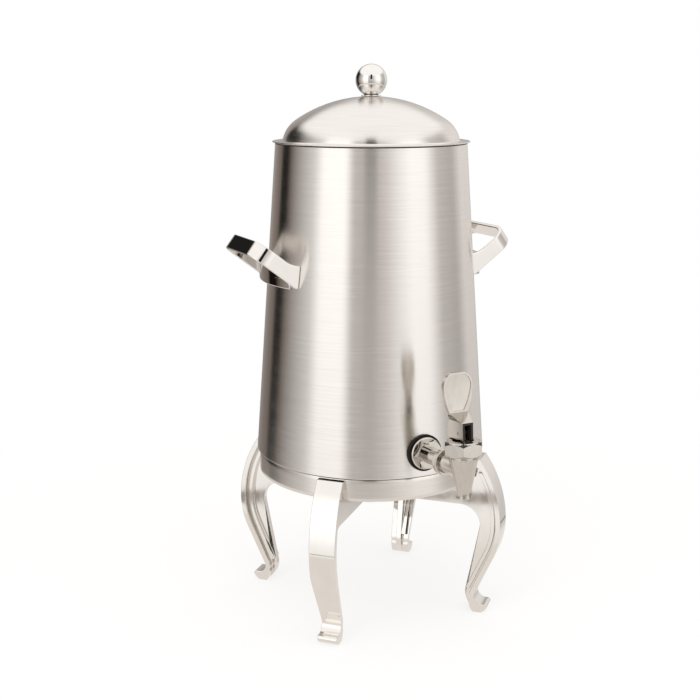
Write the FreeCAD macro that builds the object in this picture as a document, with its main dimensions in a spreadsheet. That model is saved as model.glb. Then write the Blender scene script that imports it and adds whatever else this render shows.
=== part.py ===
"""Insulated coffee urn on four cast legs: tapered double-walled vessel, domed lift-off lid,
two loop handles and a sprung lever tap.

Frame: millimetres, +Z up, origin on the floor under the urn's axis, tap towards -Y,
handles towards +X and -X, legs on the diagonals.
"""
import FreeCAD, Part
import math
import os
import re
import Sketcher

doc = FreeCAD.newDocument("coffee_urn")
sheet = doc.addObject("Spreadsheet::Sheet", "sizes")

SIZES = {
    # vessel
    "shell_bottom_height": 215.9, "shell_top_height": 613.2,
    "shell_bottom_radius": 150.0, "shell_top_radius": 121.1,
    "shell_wall": 1.0, "flange_width": 12.0,
    "vacuum_gap": 7.0, "liner_wall": 0.8, "vessel_lift": 9.0, "vessel_corner": 6.0,
    "mouth_inset": 9.1, "mouth_depth": 6.0, "mouth_ledge_inset": 3.6, "mouth_ledge_depth": 2.0,
    "floor_dish": 5.0, "floor_slope_width": 28.0, "getter_radius": 14.0, "getter_depth": 4.0,
    "floor_lip": 2.0, "seam_gap": 0.3, "weld_fit": 0.05, "seat_play": 0.1,
    # base band and its plate
    "band_inset": 3.0, "band_height": 29.0, "band_wall": 1.5,
    "band_neck_depth": 2.0, "band_neck_height": 1.3,
    "plate_thickness": 2.5,
    # clamp under the crossing of the legs
    "stud_radius": 4.0, "clamp_radius": 34.0, "clamp_thickness": 3.0,
    "acorn_radius": 6.5, "acorn_depth": 11.0, "bolt_play": 0.2,
    # legs
    "leg_head_proud": 8.2, "leg_head_depth": 10.0, "leg_bulge": 37.0, "leg_belly_height": 124.0,
    "leg_lower_bend": 110.0, "leg_shin_angle": 24.5,
    "strap_thickness": 7.0, "strap_width": 34.0, "ankle_width": 26.0, "strap_taper_height": 96.0,
    "groove_depth": 2.2, "groove_width": 14.0, "bead_depth": 5.0, "bead_width": 20.0,
    "web_thickness": 8.0, "arm_depth": 41.0, "knee_inset": 30.0,
    "ankle_bend": 11.0, "ankle_height": 22.0, "ankle_inset": 33.6,
    "toe_reach": 17.6, "toe_thickness": 10.5, "heel_reach": 6.4, "heel_drop": 4.0,
    "foot_step": 4.0, "foot_flat": 10.0,
    "knee_bend": 27.0, "web_heel_reach": 7.5, "web_heel_height": 29.0, "web_heel_bend": 26.0,
    "arm_root": 8.0,
    "leg_screw_radius": 3.0, "leg_screw_length": 9.0, "screw_head_radius": 4.5, "screw_head_height": 3.0,
    # handles
    "handle_loop_reach": 40.8, "handle_rise": 44.0, "handle_tilt": 37.5,
    "handle_width": 20.0, "handle_thickness": 4.8, "handle_bar_half": 31.0,
    "handle_half_width": 55.0, "handle_root_half": 49.5, "handle_corner": 24.0,
    "handle_foot_proud": 10.0, "handle_drop": 170.7, "handle_foot_height": 28.0,
    "handle_throat": 38.0, "handle_seat_gap": 0.2,
    "handle_stud_radius": 4.0, "handle_stud_spacing": 56.0, "handle_stud_length": 8.0,
    "grub_radius": 2.0,
    # lid
    "lid_overhang": 3.6, "lid_sheet": 1.0, "lid_seat": 0.4, "lid_roll": 1.6,
    "dome_inset": 8.5, "dome_rise": 56.8, "dome_crown": 170.0, "dome_knuckle": 40.0,
    "dome_foot_fillet": 3.0, "plug_depth": 22.0, "plug_corner": 6.0,
    "plug_play": 0.3, "gasket_width": 5.8, "gasket_lift": 0.3, "gasket_bevel": 0.4,
    "foam_play": 0.5, "foam_hole_radius": 11.0,
    # knob
    "knob_radius": 19.8, "knob_neck_radius": 8.9, "collar_radius": 13.0, "collar_lip": 1.2,
    "knob_rise": 19.5, "knob_screw_radius": 3.0, "knob_screw_grip": 12.0, "washer_radius": 9.0,
    "washer_thickness": 1.5,
    # tap
    "tap_rise": 30.1, "tap_reach": 93.0,
    "seal_radius": 22.6, "seal_thickness": 3.2, "rose_radius": 20.0, "rose_thickness": 3.4,
    "tap_nut_flats": 33.0, "tap_nut_thickness": 10.0,
    "shank_radius": 10.4, "shank_bore": 6.0, "shank_length": 52.0, "shank_tail": 24.0,
    "port_wall": 1.2, "port_play": 0.1, "inner_washer_radius": 14.5, "inner_washer_thickness": 2.5,
    "lock_nut_flats": 27.0, "lock_nut_thickness": 7.0,
    "coupling_radius": 16.5, "coupling_length": 9.0, "coupling_round": 1.5, "spigot_radius": 12.6,
    "barrel_radius": 17.0, "barrel_top": 17.5, "barrel_shoulder": 13.0, "barrel_foot": -22.0,
    "spout_radius": 9.3, "spout_bore": 6.5, "spout_depth": 33.5,
    "chamber_radius": 9.8, "seat_height": -9.0, "bonnet_thread_radius": 13.0, "bonnet_thread_depth": 6.0,
    "bonnet_flats": 42.0, "bonnet_height": 17.5, "bonnet_chamfer": 5.5,
    "bonnet_recess_radius": 12.5, "bonnet_recess_depth": 3.0, "bonnet_roof": 5.0,
    "stem_radius": 3.6, "stem_play": 0.06, "stem_collar_radius": 6.0, "stem_collar_height": 2.0,
    "seat_cup_radius": 9.0, "seat_cup_height": 6.5, "spring_radius": 6.6, "spring_bore_radius": 4.4,
    # lever
    "pin_height": 43.5, "pin_radius": 2.0, "pin_play": 0.05, "stem_eye_height": 5.0,
    "lever_clearance": 1.2, "block_width": 14.0, "block_front": 11.0, "block_rear": 22.0,
    "block_top": 57.0, "neck_top": 66.0, "fork_gap": 8.4, "fork_depth": 10.0, "fork_height": 18.0,
    "paddle_front": 8.5, "paddle_thickness": 5.0, "paddle_half_width": 19.5, "paddle_wide_height": 97.0,
    "paddle_top": 112.5, "paddle_crown_half": 8.0, "paddle_flank_bend": 75.0, "paddle_corner": 17.0,
    "paddle_rim": 2.6, "paddle_dish": 1.2,
}

for row, (alias, number) in enumerate(SIZES.items(), start=1):
    sheet.set(f"A{row}", alias)
    sheet.set(f"B{row}", str(number))
    sheet.setAlias(f"B{row}", alias)
doc.recompute()

WORD = re.compile(r"[a-z][a-z_]*")


def shell_radius(height):
    """Outside radius of the tapered shell at a height."""
    taper = "(shell_bottom_radius - shell_top_radius) / (shell_top_height - shell_bottom_height)"
    return f"(shell_bottom_radius - ({height} - shell_bottom_height) * {taper})"


# Places that follow from the sizes: each piece keeps its distance from the one that carries it
TIED = {
    "shell_flange_radius": "(shell_bottom_radius - flange_width)",
    "floor_dish_radius": "(shell_flange_radius - floor_slope_width)",
    "mouth_radius": "(shell_top_radius - mouth_inset)",
    "mouth_ledge_radius": "(shell_top_radius - mouth_ledge_inset)",
    "band_radius": "(shell_bottom_radius - band_inset)",
    "band_neck_radius": "(band_radius - band_neck_depth)",
    "band_flange_radius": "(shell_flange_radius - 1)",
    "leg_top": "(shell_bottom_height - band_neck_height - 1)",
    "leg_head_radius": "(band_radius + leg_head_proud)",
    "leg_belly_radius": "(band_radius + leg_bulge)",
    "leg_belly_depth": "(leg_belly_radius - leg_head_radius)",
    "leg_upper_bend": "((leg_belly_depth ^ 2 + (leg_top - leg_belly_height) ^ 2) / leg_belly_depth / 2)",
    "knee_radius": "(leg_belly_radius - knee_inset)",
    "ankle_radius": "(leg_belly_radius - ankle_inset)",
    "toe_radius": "(ankle_radius + toe_reach)",
    "heel_radius": "(ankle_radius - heel_reach)",
    "web_heel_radius": "(heel_radius - web_heel_reach)",
    "handle_foot_bottom": "(shell_top_height - handle_drop)",
    "handle_height": "(handle_foot_bottom + handle_rise)",
    "handle_foot_radius": f"({shell_radius('handle_foot_bottom')} + handle_foot_proud)",
    "handle_reach": "(handle_foot_radius + handle_loop_reach)",
    "lid_radius": "(shell_top_radius + lid_overhang)",
    "dome_radius": "(shell_top_radius - dome_inset)",
    "dome_apex_height": "(shell_top_height + dome_rise)",
    "tap_height": "(shell_bottom_height + tap_rise)",
}


def untie(text):
    """The text with every tied name written out in sizes."""
    while any(word in TIED for word in WORD.findall(text)):
        text = WORD.sub(lambda m: TIED.get(m.group(), m.group()), text)
    return text


def bind(text):
    """An expression for another object: each size's name gets the sheet's name in front."""
    return WORD.sub(lambda m: "sizes." + m.group() if m.group() in SIZES else m.group(), untie(text))


def value(text):
    """The number that an expression of sizes has now, worked out by the sheet."""
    return float(sheet.evalExpression(untie(text)))


# Outlines

def origin_plane(body, role):
    return next(item for item in body.Origin.OriginFeatures if item.Role == role)


def draw(sketch, points):
    """Closed outline through bound corners. A corner may carry the radius of the arc that leads to
    the next one, and the side its centre lies on: 1 for the left of the way round, -1 for the right."""
    places = [FreeCAD.Vector(value(p[0]), value(p[1]), 0) for p in points]
    first = sketch.GeometryCount
    ends = []
    for index, point in enumerate(points):
        start, end = places[index], places[(index + 1) % len(points)]
        if len(point) == 2:
            sketch.addGeometry(Part.LineSegment(start, end), False)
            ends.append((1, 2))
            continue
        radius, side = value(point[2]), point[3]
        chord = end - start
        normal = FreeCAD.Vector(-chord.y, chord.x, 0).normalize() * side
        middle = (start + end) * 0.5
        centre = middle + normal * math.sqrt(max(radius ** 2 - chord.Length ** 2 / 4, 0))
        begin, finish = (start, end) if side > 0 else (end, start)
        angles = [math.atan2(p.y - centre.y, p.x - centre.x) for p in (begin, finish)]
        circle = Part.Circle(centre, FreeCAD.Vector(0, 0, 1), radius)
        sketch.addGeometry(Part.ArcOfCircle(circle, *angles), False)
        ends.append((1, 2) if side > 0 else (2, 1))
    for index, point in enumerate(points):
        here, following = first + index, first + (index + 1) % len(points)
        after = ends[(index + 1) % len(points)][0]
        sketch.addConstraint(Sketcher.Constraint("Coincident", here, ends[index][1], following, after))
        for kind, text, number in (("DistanceX", point[0], places[index].x),
                                   ("DistanceY", point[1], places[index].y)):
            rule = Sketcher.Constraint(kind, -1, 1, here, ends[index][0], number)
            sketch.setExpression(f"Constraints[{sketch.addConstraint(rule)}]", bind(text))
        if len(point) == 4:
            rule = Sketcher.Constraint("Radius", here, value(point[2]))
            sketch.setExpression(f"Constraints[{sketch.addConstraint(rule)}]", bind(point[2]))


def outline(body, role, *loops):
    sketch = body.newObject("Sketcher::SketchObject", body.Name + "_outline")
    sketch.AttachmentSupport = [(origin_plane(body, role), "")]
    sketch.MapMode = "FlatFace"
    for points in loops:
        draw(sketch, points)
    return sketch


def circle(sketch, radius, x="0", y="0"):
    """A bound circle in a sketch."""
    centre = FreeCAD.Vector(value(x), value(y), 0)
    index = sketch.addGeometry(Part.Circle(centre, FreeCAD.Vector(0, 0, 1), value(radius)), False)
    for rule, text in ((Sketcher.Constraint("Radius", index, value(radius)), radius),
                       (Sketcher.Constraint("DistanceX", -1, 1, index, 3, centre.x), x),
                       (Sketcher.Constraint("DistanceY", -1, 1, index, 3, centre.y), y)):
        sketch.setExpression(f"Constraints[{sketch.addConstraint(rule)}]", bind(text))


# Features

PARTS = []


def new_body(label):
    body = doc.addObject("PartDesign::Body", label)
    body.Label = label
    PARTS.append(body)
    return body


def turn(body, *loops, cut=False):
    """Full turn about the body's Z axis of outlines in its XZ plane."""
    sketch = outline(body, "XZ_Plane", *loops)
    feature = body.newObject("PartDesign::Groove" if cut else "PartDesign::Revolution", body.Name + "_turn")
    feature.Profile = sketch
    feature.ReferenceAxis = (sketch, ["V_Axis"])
    feature.Angle = 360
    return feature


def pad(body, sketch, length, both_sides=False, reverse=False):
    feature = body.newObject("PartDesign::Pad", body.Name + "_pad")
    feature.Profile = sketch
    feature.setExpression("Length", bind(length))
    feature.Reversed = reverse
    feature.SideType = "Symmetric" if both_sides else "One side"
    return feature


def pocket(body, sketch, both_sides=True, reverse=False):
    feature = body.newObject("PartDesign::Pocket", body.Name + "_pocket")
    feature.Profile = sketch
    feature.SideType = "Symmetric" if both_sides else "One side"
    feature.Type = "ThroughAll"
    feature.Reversed = reverse
    return feature


def ring_of(body, feature, count):
    """Repeat a feature evenly about the body's Z axis."""
    pattern = body.newObject("PartDesign::PolarPattern", body.Name + "_pattern")
    pattern.Originals = [feature]
    pattern.Axis = (origin_plane(body, "Z_Axis"), [""])
    pattern.Angle = 360
    pattern.Occurrences = count
    body.Tip = pattern


def place(body, x="0", y="0", z="0", axis=(0, 0, 1), angle="0"):
    body.Placement = FreeCAD.Placement(FreeCAD.Vector(), FreeCAD.Rotation(FreeCAD.Vector(*axis), 1))
    body.setExpression("Placement.Rotation.Angle", bind(angle))
    for letter, text in (("x", x), ("y", y), ("z", z)):
        body.setExpression(f"Placement.Base.{letter}", bind(text))


def cylinder(body, role, radius, length, x="0", y="0", start="0", remove=False):
    """A cylinder on the normal of one of the body's planes, added or removed."""
    kind = "PartDesign::SubtractiveCylinder" if remove else "PartDesign::AdditiveCylinder"
    feature = body.newObject(kind, body.Name + "_cylinder")
    feature.AttachmentSupport = [(origin_plane(body, role), "")]
    feature.MapMode = "FlatFace"
    feature.setExpression("Radius", bind(radius))
    feature.setExpression("Height", bind(length))
    for letter, text in (("x", x), ("y", y), ("z", start)):
        feature.setExpression(f"AttachmentOffset.Base.{letter}", bind(text))
    return feature


def pin(body, radius, length, angle, along, aside, height):
    """A level cylinder that points outward at an angle round the body's Z axis, beside a radial line."""
    feature = body.newObject("PartDesign::AdditiveCylinder", body.Name + "_pin")
    feature.AttachmentSupport = [(origin_plane(body, "XY_Plane"), "")]
    feature.MapMode = "FlatFace"
    turned = FreeCAD.Rotation(FreeCAD.Vector(0, 0, 1), angle) * FreeCAD.Rotation(FreeCAD.Vector(0, 1, 0), 90)
    feature.AttachmentOffset = FreeCAD.Placement(FreeCAD.Vector(), turned)
    feature.setExpression("Radius", bind(radius))
    feature.setExpression("Height", bind(length))
    feature.setExpression("AttachmentOffset.Base.x", bind(f"{along} * cos({angle}) - {aside} * sin({angle})"))
    feature.setExpression("AttachmentOffset.Base.y", bind(f"{along} * sin({angle}) + {aside} * cos({angle})"))
    feature.setExpression("AttachmentOffset.Base.z", bind(height))
    return feature


def polygon(flats):
    """Corners of a hexagon given across its flats."""
    corner = f"({flats}) / 2 / cos(30)"
    return [(f"{corner} * cos({60 * k})", f"{corner} * sin({60 * k})") for k in range(6)]


# Vessel: tapered outer shell, inner tank hung from the mouth ring, dished floor with its evacuation cap

SHELL_FLOOR = "(shell_bottom_height + shell_wall)"
FLOOR_PLATE = f"({SHELL_FLOOR} + shell_wall)"
TANK_BOTTOM = "(shell_bottom_height + vessel_lift)"
TANK_TOP = "(shell_top_height - mouth_depth)"
WALL_SLOPE = "((shell_bottom_radius - shell_top_radius) / (shell_top_height - shell_bottom_height))"
WALL_LEAN = f"atan({WALL_SLOPE})"


def tank_radius(height):
    """Outside radius of the inner tank, one vacuum gap inside the shell."""
    return f"({shell_radius(height)} - shell_wall - vacuum_gap)"


outer_shell = new_body("outer_shell")
turn(outer_shell, [
    ("shell_flange_radius", "shell_bottom_height"),
    ("shell_bottom_radius", "shell_bottom_height"),
    ("shell_top_radius", "shell_top_height"),
    ("shell_top_radius - shell_wall", "shell_top_height"),
    (f"{shell_radius(SHELL_FLOOR)} - shell_wall", SHELL_FLOOR),
    ("shell_flange_radius", SHELL_FLOOR),
])
port_hole = outline(outer_shell, "XZ_Plane")
circle(port_hole, "shank_radius + port_wall + bolt_play * 2", "0", "tap_height")
pocket(outer_shell, port_hole, both_sides=False, reverse=True)

inner_vessel = new_body("inner_vessel")
turn(inner_vessel, [
    ("0", TANK_BOTTOM),
    (f"{tank_radius(TANK_BOTTOM)} - vessel_corner", TANK_BOTTOM, "vessel_corner", 1),
    (tank_radius(f"({TANK_BOTTOM} + vessel_corner)"), f"{TANK_BOTTOM} + vessel_corner"),
    (tank_radius(TANK_TOP), TANK_TOP),
    ("mouth_radius", TANK_TOP),
    ("mouth_radius", f"{TANK_TOP} - liner_wall"),
    (f"{tank_radius(TANK_TOP)} - liner_wall", f"{TANK_TOP} - liner_wall"),
    (f"{tank_radius(f'({TANK_BOTTOM} + vessel_corner)')} - liner_wall", f"{TANK_BOTTOM} + vessel_corner",
     "vessel_corner - liner_wall", -1),
    (f"{tank_radius(TANK_BOTTOM)} - vessel_corner", f"{TANK_BOTTOM} + liner_wall"),
    ("0", f"{TANK_BOTTOM} + liner_wall"),
])
tank_hole = outline(inner_vessel, "XZ_Plane")
circle(tank_hole, "shank_radius + bolt_play * 2", "0",
       f"tap_height - (shell_wall + vacuum_gap) * {WALL_SLOPE}")
pocket(inner_vessel, tank_hole, both_sides=False, reverse=True)

mouth_ring = new_body("mouth_ring")
turn(mouth_ring, [
    ("mouth_radius", TANK_TOP),
    (f"{shell_radius(TANK_TOP)} - shell_wall - weld_fit", TANK_TOP),
    ("shell_top_radius - shell_wall - weld_fit", "shell_top_height"),
    ("mouth_ledge_radius", "shell_top_height"),
    ("mouth_ledge_radius", "shell_top_height - mouth_ledge_depth"),
    ("mouth_radius", "shell_top_height - mouth_ledge_depth"),
])

shell_floor = new_body("shell_floor")
FLOOR_EDGE = f"({shell_radius(FLOOR_PLATE)} - shell_wall - seam_gap)"
turn(shell_floor, [
    ("0", f"{SHELL_FLOOR} + floor_dish"),
    ("floor_dish_radius", f"{SHELL_FLOOR} + floor_dish"),
    ("shell_flange_radius - floor_lip", SHELL_FLOOR),
    (FLOOR_EDGE, SHELL_FLOOR),
    (FLOOR_EDGE, FLOOR_PLATE),
    ("shell_flange_radius - floor_lip", FLOOR_PLATE),
    ("floor_dish_radius", f"{FLOOR_PLATE} + floor_dish"),
    ("0", f"{FLOOR_PLATE} + floor_dish"),
])

getter_cap = new_body("getter_cap")
turn(getter_cap, [
    ("0", f"{SHELL_FLOOR} + floor_dish - getter_depth"),
    ("getter_radius", f"{SHELL_FLOOR} + floor_dish - getter_depth"),
    ("getter_radius", f"{SHELL_FLOOR} + floor_dish"),
    ("getter_radius - shell_wall", f"{SHELL_FLOOR} + floor_dish"),
    ("getter_radius - shell_wall", f"{SHELL_FLOOR} + floor_dish - getter_depth + shell_wall"),
    ("0", f"{SHELL_FLOOR} + floor_dish - getter_depth + shell_wall"),
])


# Base: rolled band under the vessel with a pressed plate in its lower edge

BAND_TOP = "(shell_bottom_height - band_neck_height)"
BAND_BOTTOM = "(shell_bottom_height - band_height)"

base_band = new_body("base_band")
turn(base_band, [
    ("band_radius", BAND_BOTTOM),
    ("band_radius", BAND_TOP),
    ("band_neck_radius", BAND_TOP),
    ("band_neck_radius", "shell_bottom_height"),
    ("band_flange_radius", "shell_bottom_height"),
    ("band_flange_radius", f"{BAND_TOP} - band_wall"),
    ("band_radius - band_wall", f"{BAND_TOP} - band_wall"),
    ("band_radius - band_wall", BAND_BOTTOM),
])
SCREW_HEIGHT = "(leg_top - leg_head_depth * 0.55)"
screw_hole = cylinder(base_band, "YZ_Plane", "leg_screw_radius + bolt_play", "band_wall * 3",
                      "0", SCREW_HEIGHT, "band_radius - band_wall * 2", remove=True)
ring_of(base_band, screw_hole, 4)
# the holes sit on the diagonals, where the legs are
place(base_band, angle="45")

base_plate = new_body("base_plate")
turn(base_plate, [
    ("stud_radius + bolt_play", BAND_BOTTOM),
    ("band_radius - band_wall - bolt_play", BAND_BOTTOM),
    ("band_radius - band_wall - bolt_play", f"{BAND_BOTTOM} + plate_thickness"),
    ("stud_radius + bolt_play", f"{BAND_BOTTOM} + plate_thickness"),
])


# Legs: cast S-shaped legs with a wide outer strap, a bead and a web that runs in as an arm.
# The four arms cross under the base and are clamped there by one stud, disc and dome nut.

ARM_TOP = BAND_BOTTOM
ARM_BOTTOM = f"({BAND_BOTTOM} - arm_depth)"
BAND_SEAT = "(band_radius + seam_gap)"
HEAD_FOOT = "(leg_top - leg_head_depth)"
UPPER_AXIS = "(leg_belly_radius - leg_upper_bend)"
LOWER_AXIS = "(leg_belly_radius - leg_lower_bend)"
ANKLE_AXIS = "(ankle_radius + ankle_bend)"
FOOT_MIDDLE = "(ankle_radius + foot_step)"
STRAP_TOP = f"({HEAD_FOOT} - leg_head_depth)"


def upper_arc_radius(height, depth="0"):
    """Radius of the leg's upper curve at a height, at a depth behind its outer face."""
    return f"({UPPER_AXIS} + sqrt((leg_upper_bend - {depth}) ^ 2 - ({height} - leg_belly_height) ^ 2))"


def shin_point(depth):
    """Lower end of the leg's belly curve, at a depth behind the outer face."""
    return (f"{LOWER_AXIS} + (leg_lower_bend - {depth}) * cos(leg_shin_angle)",
            f"leg_belly_height - (leg_lower_bend - {depth}) * sin(leg_shin_angle)")


def ankle_point(depth):
    """Upper end of the ankle's curve, at a depth behind the outer face."""
    return (f"{ANKLE_AXIS} - (ankle_bend + {depth}) * cos(leg_shin_angle)",
            f"ankle_height + (ankle_bend + {depth}) * sin(leg_shin_angle)")


def rib_outline(front, rear):
    """Outline of a rib behind the strap, between two depths behind the leg's outer face."""
    return [
        (upper_arc_radius(STRAP_TOP, rear), STRAP_TOP, f"leg_upper_bend - {rear}", -1),
        (f"leg_belly_radius - {rear}", "leg_belly_height", f"leg_lower_bend - {rear}", -1),
        shin_point(rear),
        ankle_point(rear),
        ankle_point(front),
        (*shin_point(front), f"leg_lower_bend - {front}", 1),
        (f"leg_belly_radius - {front}", "leg_belly_height", f"leg_upper_bend - {front}", 1),
        (upper_arc_radius(STRAP_TOP, front), STRAP_TOP),
    ]


def build_leg(label, angle):
    leg = new_body(label)
    strap = "strap_thickness"
    # outer strap with its head against the band and its curled toe
    side = outline(leg, "XZ_Plane", [
        (upper_arc_radius("leg_top"), "leg_top"),
        (BAND_SEAT, "leg_top"),
        (BAND_SEAT, HEAD_FOOT, "leg_head_depth * 1.3", -1),
        (upper_arc_radius(STRAP_TOP, strap), STRAP_TOP, f"leg_upper_bend - {strap}", -1),
        (f"leg_belly_radius - {strap}", "leg_belly_height", f"leg_lower_bend - {strap}", -1),
        shin_point(strap),
        (*ankle_point(strap), f"ankle_bend + {strap}", 1),
        ("heel_radius", "ankle_height - heel_drop", "ankle_bend + strap_thickness", 1),
        (f"{FOOT_MIDDLE} - foot_flat / 2", "0"),
        (f"{FOOT_MIDDLE} + foot_flat / 2", "0", "toe_thickness * 1.6", 1),
        ("toe_radius", "toe_thickness * 0.8", "toe_thickness * 0.36", 1),
        ("toe_radius - toe_thickness * 0.42", "toe_thickness * 1.15", "ankle_bend", -1),
        ("ankle_radius", "ankle_height", "ankle_bend", -1),
        ankle_point("0"),
        (*shin_point("0"), "leg_lower_bend", 1),
        ("leg_belly_radius", "leg_belly_height", "leg_upper_bend", 1),
    ])
    pad(leg, side, "strap_width", both_sides=True)
    taper = outline(leg, "YZ_Plane", *[[
        (f"{sign} * strap_width / 2", "strap_taper_height"),
        (f"{sign} * ankle_width / 2", "ankle_height"),
        (f"{sign} * ankle_width / 2", "-1"),
        (f"{sign} * (strap_width / 2 + 1)", "-1"),
        (f"{sign} * (strap_width / 2 + 1)", "strap_taper_height"),
    ] for sign in (1, -1)])
    pocket(leg, taper)
    # narrow neck and bead behind the strap
    bead_front = "(strap_thickness + groove_depth)"
    bead_rear = f"({bead_front} + bead_depth)"
    pad(leg, outline(leg, "XZ_Plane", rib_outline("(strap_thickness - 1)", bead_rear)), "groove_width", True)
    pad(leg, outline(leg, "XZ_Plane", rib_outline(bead_front, bead_rear)), "bead_width", True)
    # web and the arm that runs in under the base
    middle = "(strap_thickness / 2)"
    web = outline(leg, "XZ_Plane", [
        ("arm_root", ARM_TOP),
        (BAND_SEAT, ARM_TOP),
        (BAND_SEAT, HEAD_FOOT),
        (upper_arc_radius(HEAD_FOOT, middle), HEAD_FOOT, f"leg_upper_bend - {middle}", -1),
        (f"leg_belly_radius - {middle}", "leg_belly_height", f"leg_lower_bend - {middle}", -1),
        shin_point(middle),
        ankle_point(middle),
        (f"{FOOT_MIDDLE} - foot_flat / 2", "1.5", "web_heel_bend", -1),
        ("web_heel_radius", "web_heel_height"),
        ("knee_radius", f"{ARM_BOTTOM} - knee_bend", "knee_bend", 1),
        ("knee_radius - knee_bend", ARM_BOTTOM),
        ("arm_root", ARM_BOTTOM),
    ])
    pad(leg, web, "web_thickness", both_sides=True)
    cylinder(leg, "YZ_Plane", "leg_screw_radius + bolt_play", "leg_screw_length - band_wall",
             "0", SCREW_HEIGHT, "band_radius", remove=True)
    place(leg, angle=angle)


for side, turn_angle in (("front_right", "-45"), ("rear_right", "45"), ("rear_left", "135"),
                         ("front_left", "-135")):
    build_leg(f"leg_{side}", turn_angle)

leg_screws = new_body("leg_screws")
leg_screws.AllowCompound = True
SCREW_FACE = "(band_radius - band_wall - bolt_play)"
for leg_angle in (45, 135, 225, 315):
    pin(leg_screws, "leg_screw_radius", "leg_screw_length", leg_angle, SCREW_FACE, "0", SCREW_HEIGHT)
    pin(leg_screws, "screw_head_radius", "screw_head_height", leg_angle,
        f"({SCREW_FACE} - screw_head_height)", "0", SCREW_HEIGHT)

clamp_disc = new_body("clamp_disc")
turn(clamp_disc, [
    ("stud_radius + bolt_play", f"{ARM_BOTTOM} - clamp_thickness"),
    ("clamp_radius - clamp_thickness", f"{ARM_BOTTOM} - clamp_thickness"),
    ("clamp_radius", ARM_BOTTOM),
    ("stud_radius + bolt_play", ARM_BOTTOM),
])

clamp_stud = new_body("clamp_stud")
STUD_FOOT = f"({ARM_BOTTOM} - clamp_thickness - acorn_depth + 4)"
turn(clamp_stud, [
    ("0", STUD_FOOT),
    ("stud_radius", STUD_FOOT),
    ("stud_radius", f"{BAND_BOTTOM} + plate_thickness"),
    ("stud_radius * 2", f"{BAND_BOTTOM} + plate_thickness"),
    ("stud_radius * 2", f"{BAND_BOTTOM} + plate_thickness + clamp_thickness"),
    ("0", f"{BAND_BOTTOM} + plate_thickness + clamp_thickness"),
])

clamp_nut = new_body("clamp_nut")
NUT_TOP = f"({ARM_BOTTOM} - clamp_thickness)"
NUT_BORE = "(stud_radius + bolt_play)"
NUT_DOME = "(acorn_radius * 0.96)"
nut_outline = outline(clamp_nut, "XY_Plane", polygon("acorn_radius * 2"))
circle(nut_outline, NUT_BORE)
nut_outline.setExpression("AttachmentOffset.Base.z", bind(f"{NUT_TOP} - acorn_depth / 2"))
pad(clamp_nut, nut_outline, "acorn_depth / 2")
turn(clamp_nut, [
    ("0", f"{NUT_TOP} - acorn_depth", f"(acorn_depth / 4 + {NUT_DOME} ^ 2 / acorn_depth)", 1),
    (NUT_DOME, f"{NUT_TOP} - acorn_depth / 2"),
    (NUT_BORE, f"{NUT_TOP} - acorn_depth / 2"),
    (NUT_BORE, f"{STUD_FOOT} - 0.5"),
    ("0", f"{STUD_FOOT} - 0.5"),
])


# Handles: polished cast loops, tilted up and outward, on a curved foot against the shell

STUD_HEIGHT = "(handle_foot_bottom + handle_foot_height / 2)"
STUD_LOW = f"({STUD_HEIGHT} - handle_stud_radius)"
STUD_INNER = "(handle_stud_spacing / 2 - handle_stud_radius)"
STUD_ROOT = f"(sqrt({shell_radius(STUD_LOW)} ^ 2 - {STUD_INNER} ^ 2) + handle_seat_gap)"
GRUB_RADIUS = f"({STUD_ROOT} + handle_stud_length / 2)"


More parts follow.
